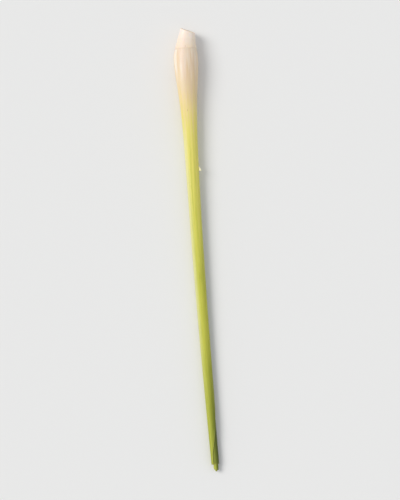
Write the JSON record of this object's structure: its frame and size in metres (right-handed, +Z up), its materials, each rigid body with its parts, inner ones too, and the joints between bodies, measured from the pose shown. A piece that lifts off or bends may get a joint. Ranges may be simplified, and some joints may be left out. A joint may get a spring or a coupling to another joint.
{
  "type": "lemongrass stalk",
  "caption": "Trimmed lemongrass stalk lying on its side: a cut stem base and a pale swollen bulb of rolled leaf sheaths, which taper to a green stem with a stepped cut at the leaf end.",
  "frame": {"origin": "on the surface that the stalk lies on, under the middle of its box", "axes": "+Y along the stalk towards the root cut, +Z up, +X across the stalk"},
  "size_m": [0.0135, 0.2505, 0.0122],
  "materials": {
    "stem_base": "matte",
    "outer_sheath": "satin",
    "second_sheath": "satin",
    "inner_leaves": "satin"
  },
  "bodies": {
    "root": {"stem_base": "stem_base", "outer_sheath": "outer_sheath", "second_sheath": "second_sheath", "third_sheath": "inner_leaves", "heart_leaves": "inner_leaves"}
  },
  "joints": []
}
